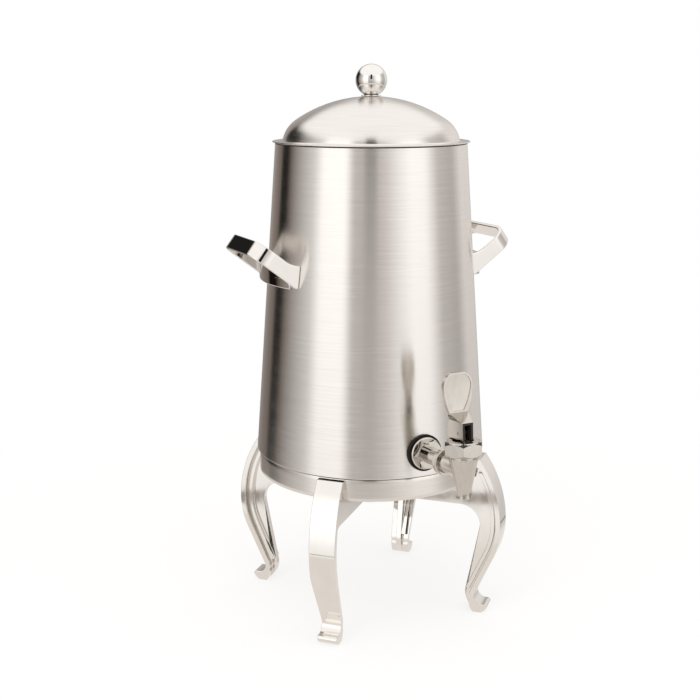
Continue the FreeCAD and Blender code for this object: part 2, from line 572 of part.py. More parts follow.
def build_handle(label, angle):
    handle = new_body(label)
    slope = "tan(handle_tilt)"
    foot_top = "(handle_foot_bottom + handle_foot_height)"
    top_radius = "(handle_reach - handle_width * sin(handle_tilt))"
    top_height = "(handle_height + handle_width * cos(handle_tilt))"
    corner = f"({top_radius} - ({top_height} - {foot_top}) / {slope})"
    run = "(handle_throat * tan(handle_tilt / 2))"
    inside = "(shell_top_radius - 20)"
    side = outline(handle, "XZ_Plane", [
        ("handle_reach", "handle_height"),
        (top_radius, top_height),
        (f"{corner} + {run} * cos(handle_tilt)", f"{foot_top} + {run} * sin(handle_tilt)",
         "handle_throat", -1),
        (f"{corner} - {run}", foot_top),
        (inside, foot_top),
        (inside, "handle_foot_bottom"),
        (f"handle_reach - (handle_height - handle_foot_bottom) / {slope}", "handle_foot_bottom"),
    ])
    pad(handle, side, "handle_half_width * 2 + 10", both_sides=True)

    def loop(depth):
        """Half-round-cornered outline of the loop in its tilted plane, at a depth inside its outer face."""
        front = f"(-{depth})"
        half = f"(handle_half_width - {depth})"
        bend = f"(handle_corner - {depth})"
        root = f"(handle_root_half - {depth})"
        back = "(-handle_reach * 0.6)"
        return [
            (front, "-handle_bar_half"),
            (front, "handle_bar_half", bend, 1),
            (f"{front} - {bend}", half),
            (back, root),
            (back, f"-{root}"),
            (f"{front} - {bend}", f"-{half}", bend, 1),
        ]

    for loops in ([loop("0"), [("20", "-100"), ("20", "100"), ("-130", "100"), ("-130", "-100")]],
                  [loop("handle_thickness")]):
        plan = outline(handle, "XY_Plane", *loops)
        plan.setExpression("AttachmentOffset.Base.x", bind("handle_reach"))
        plan.setExpression("AttachmentOffset.Base.z", bind("handle_height"))
        plan.AttachmentOffset.Rotation = FreeCAD.Rotation(FreeCAD.Vector(0, -1, 0), 1)
        plan.setExpression("AttachmentOffset.Rotation.Angle", bind("handle_tilt"))
        pocket(handle, plan)
    # curved foot between the two branches
    foot = outline(handle, "XZ_Plane", [
        (inside, "handle_foot_bottom"),
        ("handle_foot_radius", "handle_foot_bottom"),
        ("handle_foot_radius", foot_top),
        (inside, foot_top),
    ])
    arc = handle.newObject("PartDesign::Revolution", handle.Name + "_foot")
    arc.Profile = foot
    arc.ReferenceAxis = (foot, ["V_Axis"])
    arc.Midplane = True
    arc.setExpression("Angle", bind("2 * asin(handle_root_half / handle_foot_radius)"))
    # seat on the tapered shell
    low, high = "(handle_foot_bottom - 5)", f"({foot_top} + 40)"
    turn(handle, [
        ("0", low),
        (f"{shell_radius(low)} + handle_seat_gap", low),
        (f"{shell_radius(high)} + handle_seat_gap", high),
        ("0", high),
    ], cut=True)
    # bores for the two studs, and for the grub screws that clamp them from below
    for sign in ("", "-"):
        offset = f"{sign}handle_stud_spacing / 2"
        cylinder(handle, "YZ_Plane", "handle_stud_radius + handle_seat_gap", "handle_stud_length",
                 offset, STUD_HEIGHT, STUD_ROOT, remove=True)
        cylinder(handle, "XY_Plane", "grub_radius + handle_seat_gap", "handle_foot_height / 2",
                 GRUB_RADIUS, offset, "handle_foot_bottom - 1", remove=True)
    place(handle, angle=angle)


build_handle("handle_right", "0")
build_handle("handle_left", "180")


handle_studs = new_body("handle_studs")
handle_grub_screws = new_body("handle_grub_screws")
for fasteners in (handle_studs, handle_grub_screws):
    fasteners.AllowCompound = True
for aside in ("(handle_stud_spacing / 2)", "(-handle_stud_spacing / 2)"):
    for side_angle in (0, 180):
        pin(handle_studs, "handle_stud_radius", "handle_stud_length - 0.5", side_angle,
            STUD_ROOT, aside, STUD_HEIGHT)
    for radius in (GRUB_RADIUS, f"(-{GRUB_RADIUS})"):
        cylinder(handle_grub_screws, "XY_Plane", "grub_radius",
                 "handle_foot_height / 2 - handle_stud_radius - 1 - handle_seat_gap",
                 radius, aside, "handle_foot_bottom + 1")


# Lid: spun dome with a turned-up flange, foam core, pressed liner that plugs the mouth, soft seal

LID_SEAT = "(shell_top_height + lid_seat)"
LID_TOP = "(shell_top_height + lid_seat + lid_sheet)"
LID_SHOULDER = f"({LID_TOP} + dome_foot_fillet)"
DOME_SINE = "((dome_radius - dome_knuckle) / (dome_crown - dome_knuckle))"
CROWN_AXIS = "(dome_apex_height - dome_crown)"
KNUCKLE_AXIS = f"({CROWN_AXIS} + (dome_crown - dome_knuckle) * sqrt(1 - {DOME_SINE} ^ 2))"
PLUG_BOTTOM = "(shell_top_height - plug_depth)"


def crown_height(radius, depth="0"):
    """Height of the dome's crown at a radius, at a depth inside the outer face."""
    return f"({CROWN_AXIS} + sqrt((dome_crown - {depth}) ^ 2 - ({radius}) ^ 2))"


def knuckle_radius(height, depth="0"):
    """Radius of the dome's side at a height, at a depth inside the outer face."""
    rise = f"({height} - {KNUCKLE_AXIS})"
    return f"(dome_radius - dome_knuckle + sqrt((dome_knuckle - {depth}) ^ 2 - {rise} ^ 2))"


def dome_joint(depth="0"):
    """Where the dome's side meets its crown."""
    return (f"(dome_crown - {depth}) * {DOME_SINE}",
            f"{CROWN_AXIS} + (dome_crown - {depth}) * sqrt(1 - {DOME_SINE} ^ 2)")


SCREW_HOLE = "(knob_screw_radius + bolt_play)"

lid_dome = new_body("lid_dome")
turn(lid_dome, [
    (knuckle_radius(LID_SHOULDER, "lid_sheet"), LID_SEAT),
    ("lid_radius", LID_SEAT),
    ("lid_radius", f"{LID_SEAT} + lid_roll"),
    ("lid_radius - lid_sheet", f"{LID_SEAT} + lid_roll"),
    ("lid_radius - lid_sheet", LID_TOP),
    (f"{knuckle_radius(LID_SHOULDER)} + dome_foot_fillet", LID_TOP, "dome_foot_fillet", -1),
    (knuckle_radius(LID_SHOULDER), LID_SHOULDER, "dome_knuckle", 1),
    (*dome_joint(), "dome_crown", 1),
    (SCREW_HOLE, crown_height(SCREW_HOLE)),
    (SCREW_HOLE, crown_height(SCREW_HOLE, "lid_sheet"), "dome_crown - lid_sheet", -1),
    (*dome_joint("lid_sheet"), "dome_knuckle - lid_sheet", -1),
    (knuckle_radius(LID_SHOULDER, "lid_sheet"), LID_SHOULDER),
])

LINER_RADIUS = f"({knuckle_radius(LID_SHOULDER, 'lid_sheet')} - plug_play)"
lid_liner = new_body("lid_liner")
turn(lid_liner, [
    ("0", PLUG_BOTTOM),
    (f"{LINER_RADIUS} - plug_corner", PLUG_BOTTOM, "plug_corner", 1),
    (LINER_RADIUS, f"{PLUG_BOTTOM} + plug_corner"),
    (LINER_RADIUS, LID_SHOULDER),
    (f"{LINER_RADIUS} - liner_wall", LID_SHOULDER),
    (f"{LINER_RADIUS} - liner_wall", f"{PLUG_BOTTOM} + plug_corner", "plug_corner - liner_wall", -1),
    (f"{LINER_RADIUS} - plug_corner", f"{PLUG_BOTTOM} + liner_wall"),
    ("0", f"{PLUG_BOTTOM} + liner_wall"),
])

FOAM_INSET = "(lid_sheet + liner_wall + plug_play + foam_play)"
lid_insulation = new_body("lid_insulation")
turn(lid_insulation, [
    ("foam_hole_radius", f"{PLUG_BOTTOM} + liner_wall"),
    (f"{LINER_RADIUS} - plug_corner", f"{PLUG_BOTTOM} + liner_wall"),
    (knuckle_radius(LID_SHOULDER, FOAM_INSET), f"{PLUG_BOTTOM} + plug_corner"),
    (knuckle_radius(LID_SHOULDER, FOAM_INSET), LID_SHOULDER, f"dome_knuckle - {FOAM_INSET}", 1),
    (*dome_joint(FOAM_INSET), f"dome_crown - {FOAM_INSET}", 1),
    ("foam_hole_radius", crown_height("foam_hole_radius", FOAM_INSET)),
])

LEDGE_TOP = "(shell_top_height - mouth_ledge_depth)"
lid_gasket = new_body("lid_gasket")
turn(lid_gasket, [
    (f"{LINER_RADIUS} + seat_play", f"{LEDGE_TOP} + gasket_lift"),
    (f"{LINER_RADIUS} + gasket_width", f"{LEDGE_TOP} + gasket_lift"),
    (f"{LINER_RADIUS} + gasket_width", LID_SEAT),
    (f"{LINER_RADIUS} + gasket_bevel", LID_SEAT),
    (f"{LINER_RADIUS} + seat_play", f"{LID_SEAT} - gasket_bevel"),
])


# Knob: polished ball on a short collar, held by a screw and washer from inside the dome

KNOB_MIDDLE = "(dome_apex_height + knob_rise)"
KNOB_BOTTOM = f"({KNOB_MIDDLE} - sqrt(knob_radius ^ 2 - knob_neck_radius ^ 2))"
WASHER_TOP = f"({crown_height('washer_radius', 'lid_sheet')} - weld_fit)"
KNOB_SCREW_TIP = f"({KNOB_BOTTOM} + knob_screw_grip)"

knob_ball = new_body("knob_ball")
turn(knob_ball, [
    (SCREW_HOLE, KNOB_BOTTOM),
    ("knob_neck_radius", KNOB_BOTTOM, "knob_radius", 1),
    ("knob_radius", KNOB_MIDDLE, "knob_radius", 1),
    ("0", f"{KNOB_MIDDLE} + knob_radius"),
    ("0", f"{KNOB_SCREW_TIP} + 1"),
    (SCREW_HOLE, f"{KNOB_SCREW_TIP} + 1"),
])

knob_collar = new_body("knob_collar")
turn(knob_collar, [
    (SCREW_HOLE, "dome_apex_height"),
    ("collar_radius", "dome_apex_height"),
    ("collar_radius - 1", "dome_apex_height + collar_lip", "collar_radius / 2", -1),
    ("knob_neck_radius - 0.4", KNOB_BOTTOM),
    (SCREW_HOLE, KNOB_BOTTOM),
])

knob_washer = new_body("knob_washer")
turn(knob_washer, [
    (SCREW_HOLE, f"{WASHER_TOP} - washer_thickness"),
    ("washer_radius", f"{WASHER_TOP} - washer_thickness"),
    ("washer_radius", WASHER_TOP),
    (SCREW_HOLE, WASHER_TOP),
])

knob_screw = new_body("knob_screw")
turn(knob_screw, [
    ("0", f"{WASHER_TOP} - washer_thickness - screw_head_height"),
    ("screw_head_radius", f"{WASHER_TOP} - washer_thickness - screw_head_height"),
    ("screw_head_radius", f"{WASHER_TOP} - washer_thickness"),
    ("knob_screw_radius", f"{WASHER_TOP} - washer_thickness"),
    ("knob_screw_radius", KNOB_SCREW_TIP),
    ("0", KNOB_SCREW_TIP),
])


# Tap mounting: everything stands square to the tapered wall. Pieces on the shank have their own
# Z axis pointing out of the wall, pieces of the tap have theirs pointing up beside the wall.

TAP_WALL = shell_radius("tap_height")
INNER_WALL = "(shell_wall + vacuum_gap + liner_wall)"
WASHER_FACE = f"({INNER_WALL} + inner_washer_radius ^ 2 / ({tank_radius('tap_height')} * 2) + seat_play)"
NUT_FACE = "(seal_thickness + rose_thickness)"


def on_shank(body):
    place(body, "0", f"-{TAP_WALL}", "tap_height", (1, 0, 0), f"90 deg - {WALL_LEAN}")


def on_tap(body):
    place(body, "0", f"-{TAP_WALL} - tap_reach * cos({WALL_LEAN})",
          f"tap_height + tap_reach * sin({WALL_LEAN})", (-1, 0, 0), WALL_LEAN)


def tube(label, bore, radius, start, end):
    """A plain ring or tube on the shank's axis."""
    body = new_body(label)
    turn(body, [(bore, start), (radius, start), (radius, end), (bore, end)])
    on_shank(body)
    return body


def hex_nut(label, flats, bore, start, thickness):
    """A hexagon nut on the shank's axis with both faces chamfered."""
    body = new_body(label)
    sketch = outline(body, "XY_Plane", polygon(flats))
    circle(sketch, bore)
    sketch.setExpression("AttachmentOffset.Base.z", bind(start))
    pad(body, sketch, thickness)
    flat, corner, rise = f"({flats} * 0.49)", f"({flats} * 0.62)", f"({flats} * 0.07)"
    for face, inward in ((start, rise), (f"({start} + {thickness})", f"(-{rise})")):
        turn(body, [(flat, face), (corner, face), (corner, f"{face} + {inward}")], cut=True)
    on_shank(body)
    return body


port_tube = tube("port_tube", "shank_radius + port_play", "shank_radius + port_play + port_wall",
                 "-shell_wall - vacuum_gap + port_play", "-0.7")

seal_blank = doc.addObject("Part::Cylinder", "tap_seal_blank")
seal_blank.setExpression("Radius", bind("seal_radius"))
seal_blank.setExpression("Height", bind("seal_thickness * 2"))
seal_bore = doc.addObject("Part::Cylinder", "tap_seal_bore")
seal_bore.setExpression("Radius", bind("shank_radius + port_play"))
seal_bore.setExpression("Height", bind("seal_thickness * 4"))
for blank, back in ((seal_blank, "seal_thickness"), (seal_bore, "seal_thickness * 2")):
    place(blank, "0", f"-{TAP_WALL} + {back} * cos({WALL_LEAN})",
          f"tap_height - {back} * sin({WALL_LEAN})", (1, 0, 0), f"90 deg - {WALL_LEAN}")
seal_ring = doc.addObject("Part::Cut", "tap_seal_ring")
seal_ring.Base, seal_ring.Tool = seal_blank, seal_bore
seal_wall = doc.addObject("Part::Cone", "tap_seal_wall")
for side, height in (("Radius1", "(tap_height - seal_radius * 2)"),
                     ("Radius2", "(tap_height + seal_radius * 2)")):
    seal_wall.setExpression(side, bind(f"{shell_radius(height)} + seat_play"))
seal_wall.setExpression("Height", bind("seal_radius * 4"))
place(seal_wall, z="tap_height - seal_radius * 2")
tap_gasket = doc.addObject("Part::Cut", "tap_gasket")
tap_gasket.Base, tap_gasket.Tool = seal_ring, seal_wall
tap_gasket.Label = "tap_gasket"
PARTS.append(tap_gasket)

tap_rose = new_body("tap_rose")
turn(tap_rose, [
    ("shank_radius + port_play", "seal_thickness"),
    ("rose_radius", "seal_thickness"),
    ("rose_radius", f"{NUT_FACE} - rose_thickness / 2", "rose_thickness", 1),
    ("rose_radius - rose_thickness / 2", NUT_FACE),
    ("shank_radius + port_play", NUT_FACE),
])
on_shank(tap_rose)

hex_nut("tap_nut", "tap_nut_flats", "shank_radius + port_play", NUT_FACE, "tap_nut_thickness")
tube("tap_shank", "shank_bore", "shank_radius", "-shank_tail", "shank_length")
tube("shank_washer", "shank_radius + port_play", "inner_washer_radius",
     f"-{WASHER_FACE} - inner_washer_thickness", f"-{WASHER_FACE}")
hex_nut("shank_lock_nut", "lock_nut_flats", "shank_radius + port_play",
        f"(-{WASHER_FACE} - inner_washer_thickness - lock_nut_thickness)", "lock_nut_thickness")

coupling_nut = new_body("coupling_nut")
COUPLING_START = "(shank_length - coupling_length / 2)"
COUPLING_END = "(shank_length + coupling_length / 2)"
turn(coupling_nut, [
    ("shank_radius + port_play", COUPLING_START),
    ("coupling_radius - coupling_round", COUPLING_START, "coupling_round", 1),
    ("coupling_radius", f"{COUPLING_START} + coupling_round"),
    ("coupling_radius", f"{COUPLING_END} - coupling_round", "coupling_round", 1),
    ("coupling_radius - coupling_round", COUPLING_END),
    ("spigot_radius + port_play", COUPLING_END),
    ("spigot_radius + port_play", "shank_length + port_play"),
    ("shank_radius + port_play", "shank_length + port_play"),
])
on_shank(coupling_nut)


# Tap: tapered barrel with a straight spout, hexagon bonnet, sprung stem with a soft seat cup

BONNET_TOP = "(barrel_top + bonnet_height)"
SPRING_SEAT = f"({BONNET_TOP} - bonnet_recess_depth - bonnet_roof)"
COLLAR_TOP = "(seat_height + seat_cup_height + stem_collar_height)"

tap_body = new_body("tap_body")
turn(tap_body, [
    ("0", "-spout_depth"),
    ("spout_radius - 0.8", "-spout_depth"),
    ("spout_radius", "-spout_depth + 0.8"),
    ("spout_radius", "barrel_foot"),
    ("barrel_radius", "barrel_shoulder"),
    ("barrel_radius", "barrel_top"),
    ("0", "barrel_top"),
])
cylinder(tap_body, "XZ_Plane", "spigot_radius", "tap_reach - shank_length - port_play * 2",
         start="-tap_reach + shank_length + port_play * 2")
cylinder(tap_body, "XZ_Plane", "shank_bore", "tap_reach",
         start="-tap_reach", remove=True)
turn(tap_body, [
    ("0", "-spout_depth - 1"),
    ("spout_bore", "-spout_depth - 1"),
    ("spout_bore", "seat_height"),
    ("chamber_radius", "seat_height"),
    ("chamber_radius", "barrel_top - bonnet_thread_depth"),
    ("bonnet_thread_radius + port_play", "barrel_top - bonnet_thread_depth"),
    ("bonnet_thread_radius + port_play", "barrel_top + 1"),
    ("0", "barrel_top + 1"),
], cut=True)
on_tap(tap_body)

bonnet = new_body("bonnet")
bonnet_hex = outline(bonnet, "XY_Plane", polygon("bonnet_flats"))
bonnet_hex.setExpression("AttachmentOffset.Base.z", bind("barrel_top"))
pad(bonnet, bonnet_hex, "bonnet_height")
cylinder(bonnet, "XY_Plane", "bonnet_thread_radius", "bonnet_thread_depth",
         start="barrel_top - bonnet_thread_depth + port_play")
for face, inward in (("barrel_top", "bonnet_chamfer"), (BONNET_TOP, "(-bonnet_chamfer)")):
    turn(bonnet, [
        ("bonnet_flats * 0.46", face),
        ("bonnet_flats * 0.62", face),
        ("bonnet_flats * 0.62", f"{face} + {inward}"),
    ], cut=True)
turn(bonnet, [
    ("0", "barrel_top - bonnet_thread_depth - 1"),
    ("chamber_radius", "barrel_top - bonnet_thread_depth - 1"),
    ("chamber_radius", SPRING_SEAT),
    ("stem_radius + stem_play", SPRING_SEAT),
    ("stem_radius + stem_play", f"{BONNET_TOP} - bonnet_recess_depth"),
    ("bonnet_recess_radius", f"{BONNET_TOP} - bonnet_recess_depth"),
    ("bonnet_recess_radius", f"{BONNET_TOP} + 1"),
    ("0", f"{BONNET_TOP} + 1"),
], cut=True)
on_tap(bonnet)

valve_stem = new_body("valve_stem")
turn(valve_stem, [
    ("0", "seat_height + seat_cup_height / 2"),
    ("stem_radius", "seat_height + seat_cup_height / 2"),
    ("stem_radius", "seat_height + seat_cup_height"),
    ("stem_collar_radius", "seat_height + seat_cup_height"),
    ("stem_collar_radius", COLLAR_TOP),
    ("stem_radius", COLLAR_TOP),
    ("stem_radius", "pin_height + stem_eye_height - 1"),
    ("stem_radius - 1", "pin_height + stem_eye_height"),
    ("0", "pin_height + stem_eye_height"),
])
cylinder(valve_stem, "YZ_Plane", "pin_radius + pin_play", "stem_radius * 4",
         "0", "pin_height", "-stem_radius * 2", remove=True)
on_tap(valve_stem)

seat_cup = new_body("seat_cup")
turn(seat_cup, [
    ("0", "seat_height"),
    ("seat_cup_radius - 1", "seat_height"),
    ("seat_cup_radius", "seat_height + 1"),
    ("seat_cup_radius - 1.5", "seat_height + seat_cup_height"),
    ("stem_radius", "seat_height + seat_cup_height"),
    ("stem_radius", "seat_height + seat_cup_height / 2"),
    ("0", "seat_height + seat_cup_height / 2"),
])
on_tap(seat_cup)

tap_spring = new_body("tap_spring")
turn(tap_spring, [
    ("spring_bore_radius", COLLAR_TOP),
    ("spring_radius", COLLAR_TOP),
    ("spring_radius", SPRING_SEAT),
    ("spring_bore_radius", SPRING_SEAT),
])
on_tap(tap_spring)


# Lever: forked block pinned to the stem, with a dished paddle rising behind it

def paddle(inset):
    """Rounded head of the paddle from one flank over the crown to the other, inside its rim by an inset."""
    return [
        (f"paddle_half_width - {inset}", "paddle_wide_height", f"paddle_corner - {inset}", 1),
        ("paddle_crown_half", f"paddle_top - {inset}"),
        ("-paddle_crown_half", f"paddle_top - {inset}", f"paddle_corner - {inset}", 1),
        (f"-paddle_half_width + {inset}", "paddle_wide_height", "paddle_flank_bend", 1),
    ]


BLOCK_BOTTOM = f"({BONNET_TOP} + lever_clearance)"
lever = new_body("lever")
lever_side = outline(lever, "YZ_Plane", [
    ("-block_front", BLOCK_BOTTOM),
    ("block_rear", BLOCK_BOTTOM),
    ("block_rear", "block_top - 4"),
    ("paddle_front + paddle_thickness", "neck_top"),
    ("paddle_front + paddle_thickness", "paddle_top"),
    ("paddle_front", "paddle_top"),
    ("paddle_front", "neck_top"),
    ("-block_front", "block_top"),
])
pad(lever, lever_side, "paddle_half_width * 2 + 4", both_sides=True)
frame_half = "(paddle_half_width * 2)"
lever_front = outline(lever, "XZ_Plane", [
    ("block_width / 2", f"{BLOCK_BOTTOM} - 2"),
    ("block_width / 2", "block_top", "paddle_flank_bend", 1),
    *paddle("0"),
    ("-block_width / 2", "block_top"),
    ("-block_width / 2", f"{BLOCK_BOTTOM} - 2"),
], [
    (frame_half, f"{BLOCK_BOTTOM} - 4"),
    (frame_half, "paddle_top + 10"),
    (f"-{frame_half}", "paddle_top + 10"),
    (f"-{frame_half}", f"{BLOCK_BOTTOM} - 4"),
])
pocket(lever, lever_front)
dish = outline(lever, "XZ_Plane", [
    ("block_width / 2", "neck_top + 2", "paddle_flank_bend", 1),
    *paddle("paddle_rim"),
    ("-block_width / 2", "neck_top + 2"),
])
dish.setExpression("AttachmentOffset.Base.z", bind("-paddle_front - paddle_dish"))
dish_cut = lever.newObject("PartDesign::Pocket", "lever_dish")
dish_cut.Profile = dish
dish_cut.Reversed = True
dish_cut.setExpression("Length", bind("paddle_front + block_front"))
fork = outline(lever, "YZ_Plane", [
    ("-block_front - 1", f"{BLOCK_BOTTOM} - 1"),
    ("fork_depth", f"{BLOCK_BOTTOM} - 1"),
    ("fork_depth", f"{BLOCK_BOTTOM} + fork_height"),
    ("-block_front - 1", f"{BLOCK_BOTTOM} + fork_height"),
])
fork_cut = lever.newObject("PartDesign::Pocket", "lever_fork")
fork_cut.Profile = fork
fork_cut.SideType = "Symmetric"
fork_cut.setExpression("Length", bind("fork_gap"))
cylinder(lever, "YZ_Plane", "pin_radius + pin_play", "block_width * 2", "0", "pin_height", "-block_width",
         remove=True)
on_tap(lever)

lever_pin = new_body("lever_pin")
cylinder(lever_pin, "YZ_Plane", "pin_radius", "block_width", "0", "pin_height", "-block_width / 2")
on_tap(lever_pin)


# Every piece is checked before any file is written

doc.recompute()
for item in doc.Objects:
    if "Invalid" in item.State or "Error" in item.State:
        raise RuntimeError(f"{item.Name} failed: {item.State}")
for piece in PARTS:
    if piece.Shape.isNull() or not piece.Shape.isValid() or not piece.Shape.Solids:
        raise RuntimeError(f"{piece.Label} has no valid solid")
os.makedirs("parts", exist_ok=True)
for piece in PARTS:
    piece.Shape.exportStep(f"parts/{piece.Label}.step")
    print(piece.Label, len(piece.Shape.Solids), round(piece.Shape.Volume))
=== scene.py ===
"""Looks of an insulated coffee urn: brushed tapered body and domed lid, polished cast legs and
loop handles, mirror ball knob and a lever tap. Metres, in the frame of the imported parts."""
import math
import bmesh
import bpy
from mathutils import Matrix, Vector


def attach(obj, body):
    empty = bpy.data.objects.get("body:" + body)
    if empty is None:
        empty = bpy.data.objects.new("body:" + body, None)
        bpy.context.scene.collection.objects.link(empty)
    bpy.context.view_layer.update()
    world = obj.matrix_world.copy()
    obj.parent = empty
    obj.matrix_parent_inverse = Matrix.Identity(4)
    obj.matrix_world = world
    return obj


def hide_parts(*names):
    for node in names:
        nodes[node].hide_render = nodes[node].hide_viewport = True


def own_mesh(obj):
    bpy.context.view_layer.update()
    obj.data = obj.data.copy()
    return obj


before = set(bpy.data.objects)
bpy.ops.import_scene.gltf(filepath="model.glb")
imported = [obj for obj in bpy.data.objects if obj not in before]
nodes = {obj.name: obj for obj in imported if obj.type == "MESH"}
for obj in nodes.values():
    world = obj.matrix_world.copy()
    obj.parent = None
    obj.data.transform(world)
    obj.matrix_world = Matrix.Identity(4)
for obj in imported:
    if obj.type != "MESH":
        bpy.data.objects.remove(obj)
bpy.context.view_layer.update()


# The photographer's camera
# It stood about one and a half metres away, to the left of the tap and level with the lid, and
# looked a little down through a short telephoto lens.

urn_camera = bpy.data.objects.new("urn_camera", bpy.data.cameras.new("urn_camera"))
bpy.context.scene.collection.objects.link(urn_camera)
urn_camera.location = (-0.6597, -1.3140, 0.6872)
urn_camera.rotation_euler = (math.radians(76.84), 0, math.radians(-25.62))
urn_camera.data.sensor_width = 36
urn_camera.data.lens = 58.97
bpy.context.scene.camera = urn_camera
bpy.context.scene.view_settings.view_transform = "Standard"


# The studio
# Tall white, grey and black panels stand round the urn on a pale floor, and a broad soft ceiling
# lights it from above. Polished steel shows them as the upright bands that tell it from paint.

def linear(hex_colour):
    """An sRGB hex colour as linear RGBA."""
    channels = [int(hex_colour[i:i + 2], 16) / 255 for i in (1, 3, 5)]
    return [c / 12.92 if c <= 0.04045 else ((c + 0.055) / 1.055) ** 2.4 for c in channels] + [1.0]


def add(tree, kind, links=(), inputs=(), **settings):
    """Add a node: settings by attribute, fixed inputs by name or number, and links from other sockets."""
    made = tree.nodes.new(kind)
    for name, setting in settings.items():
        setattr(made, name, setting)
    for socket, fixed in dict(inputs).items():
        made.inputs[socket].default_value = fixed
    for socket, source in dict(links).items():
        tree.links.new(source, made.inputs[socket])
    return made


def set_ramp(ramp, stops):
    """Stops are (position, colour)."""
    while len(ramp.color_ramp.elements) < len(stops):
        ramp.color_ramp.elements.new(1.0)
    for element, (position, colour) in zip(ramp.color_ramp.elements, stops):
        element.position = position
        element.color = colour


# Panels by their bearing round the urn, as a share of a full turn. The camera stands at 0.5.
PANEL_TINTS = {"white": (1.0, 0.99, 0.97), "grey": (1.0, 0.955, 0.92), "brown": (1.0, 0.84, 0.74)}
STUDIO_PANELS = [
    (0.000, 0.46, "grey"), (0.050, 0.40, "grey"), (0.100, 0.30, "brown"), (0.138, 0.22, "brown"),
    (0.152, 0.01, "brown"), (0.186, 0.01, "brown"), (0.210, 0.22, "brown"), (0.262, 0.54, "grey"),
    (0.310, 0.82, "white"), (0.345, 1.40, "white"), (0.420, 1.44, "white"), (0.446, 0.62, "grey"),
    (0.500, 0.60, "grey"), (0.545, 0.74, "grey"), (0.590, 1.10, "white"), (0.630, 1.34, "white"),
    (0.680, 1.30, "white"), (0.730, 0.66, "grey"), (0.800, 0.54, "grey"), (0.850, 0.90, "grey"),
    (0.930, 0.84, "grey"), (1.000, 0.46, "grey"),
]
# A ramp holds no colour above 1, so that 1 stands for this brightness in the whole room.
BRIGHTEST = 1.5
CEILING = (0.76, 0.75, 0.735, 1.0)
TABLE_TOP = (0.58, 0.55, 0.52, 1.0)
TABLE_EDGE = (0.24, 0.21, 0.19, 1.0)
BLACK_CLOTH = (0.01, 0.01, 0.01, 1.0)
CAMERA_BEARING = math.atan2(urn_camera.location.y, urn_camera.location.x)

studio = bpy.data.worlds.new("studio")
bpy.context.scene.world = studio
studio.use_nodes = True
sky = studio.node_tree
sky.nodes.clear()
direction = add(sky, "ShaderNodeSeparateXYZ", {0: add(sky, "ShaderNodeTexCoord").outputs["Generated"]})
rise = direction.outputs["Z"]
bearing = add(sky, "ShaderNodeMath", {0: direction.outputs["Y"], 1: direction.outputs["X"]},
              operation="ARCTAN2")
turned = add(sky, "ShaderNodeMath", {0: bearing.outputs[0]}, {1: CAMERA_BEARING}, operation="SUBTRACT")
share = add(sky, "ShaderNodeMath", {0: turned.outputs[0]}, {1: 1 / (2 * math.pi), 2: 0.5},
            operation="MULTIPLY_ADD")
around = add(sky, "ShaderNodeMath", {0: share.outputs[0]}, {1: 1.0, 2: 0.0}, operation="WRAP")
panels = add(sky, "ShaderNodeValToRGB", {0: around.outputs[0]})
set_ramp(panels, [(place, [level / BRIGHTEST * c for c in PANEL_TINTS[tint]] + [1.0])
                  for place, level, tint in STUDIO_PANELS])


def by_height(low, high, start, end):
    """A value that runs from start to end between two levels of the room, -1 below and 1 overhead."""
    return add(sky, "ShaderNodeMapRange", {0: rise}, {1: low, 2: high, 3: start, 4: end},
               interpolation_type="SMOOTHSTEP").outputs[0]


def within(value, middle, reach):
    """One where a value lies within a reach of its middle, and nought elsewhere."""
    return add(sky, "ShaderNodeMath", {0: value}, {1: middle, 2: reach}, operation="COMPARE").outputs[0]


def cover(amount, under, colour):
    """A colour laid over what lies under it, by an amount."""
    return add(sky, "ShaderNodeMix", {0: amount, 6: under}, {7: colour}, data_type="RGBA").outputs[2]


# The panels are dimmer towards their feet, where the table with its darker edge begins.
dimmed = add(sky, "ShaderNodeVectorMath", {0: panels.outputs[0], 3: by_height(-0.35, 0.12, 0.74, 1.0)},
             operation="SCALE")
tabled = cover(by_height(-0.40, -0.35, 1.0, 0.0), dimmed.outputs[0], TABLE_TOP)
edged = cover(within(rise, -0.348, 0.005), tabled, TABLE_EDGE)
ceiled = cover(by_height(0.42, 0.60, 0.0, 1.0), edged, CEILING)
# The camera on its stand is a narrow black strip that only the mirror pieces pick out. A black card
# to the left, above the level of the body, darkens the handle's bar and the lid's shoulder.
black_strips = [add(sky, "ShaderNodeMath", {0: within(around.outputs[0], middle, half_width),
                                            1: within(rise, level, half_height)}, operation="MULTIPLY")
                for middle, half_width, level, half_height in ((0.5, 0.020, 0.38, 0.26),
                                                               (0.142, 0.047, 0.25, 0.18))]
blacks = add(sky, "ShaderNodeMath", {0: black_strips[0].outputs[0], 1: black_strips[1].outputs[0]},
             operation="MAXIMUM")
room = cover(blacks.outputs[0], ceiled, BLACK_CLOTH)
seen = add(sky, "ShaderNodeLightPath")
studio_light = add(sky, "ShaderNodeBackground", {0: room}, {1: BRIGHTEST})
white_paper = add(sky, "ShaderNodeBackground", inputs={0: (1, 1, 1, 1), 1: 1.0})
sky_mix = add(sky, "ShaderNodeMixShader", {0: seen.outputs["Is Camera Ray"], 1: studio_light.outputs[0],
                                           2: white_paper.outputs[0]})
add(sky, "ShaderNodeOutputWorld", {0: sky_mix.outputs[0]})

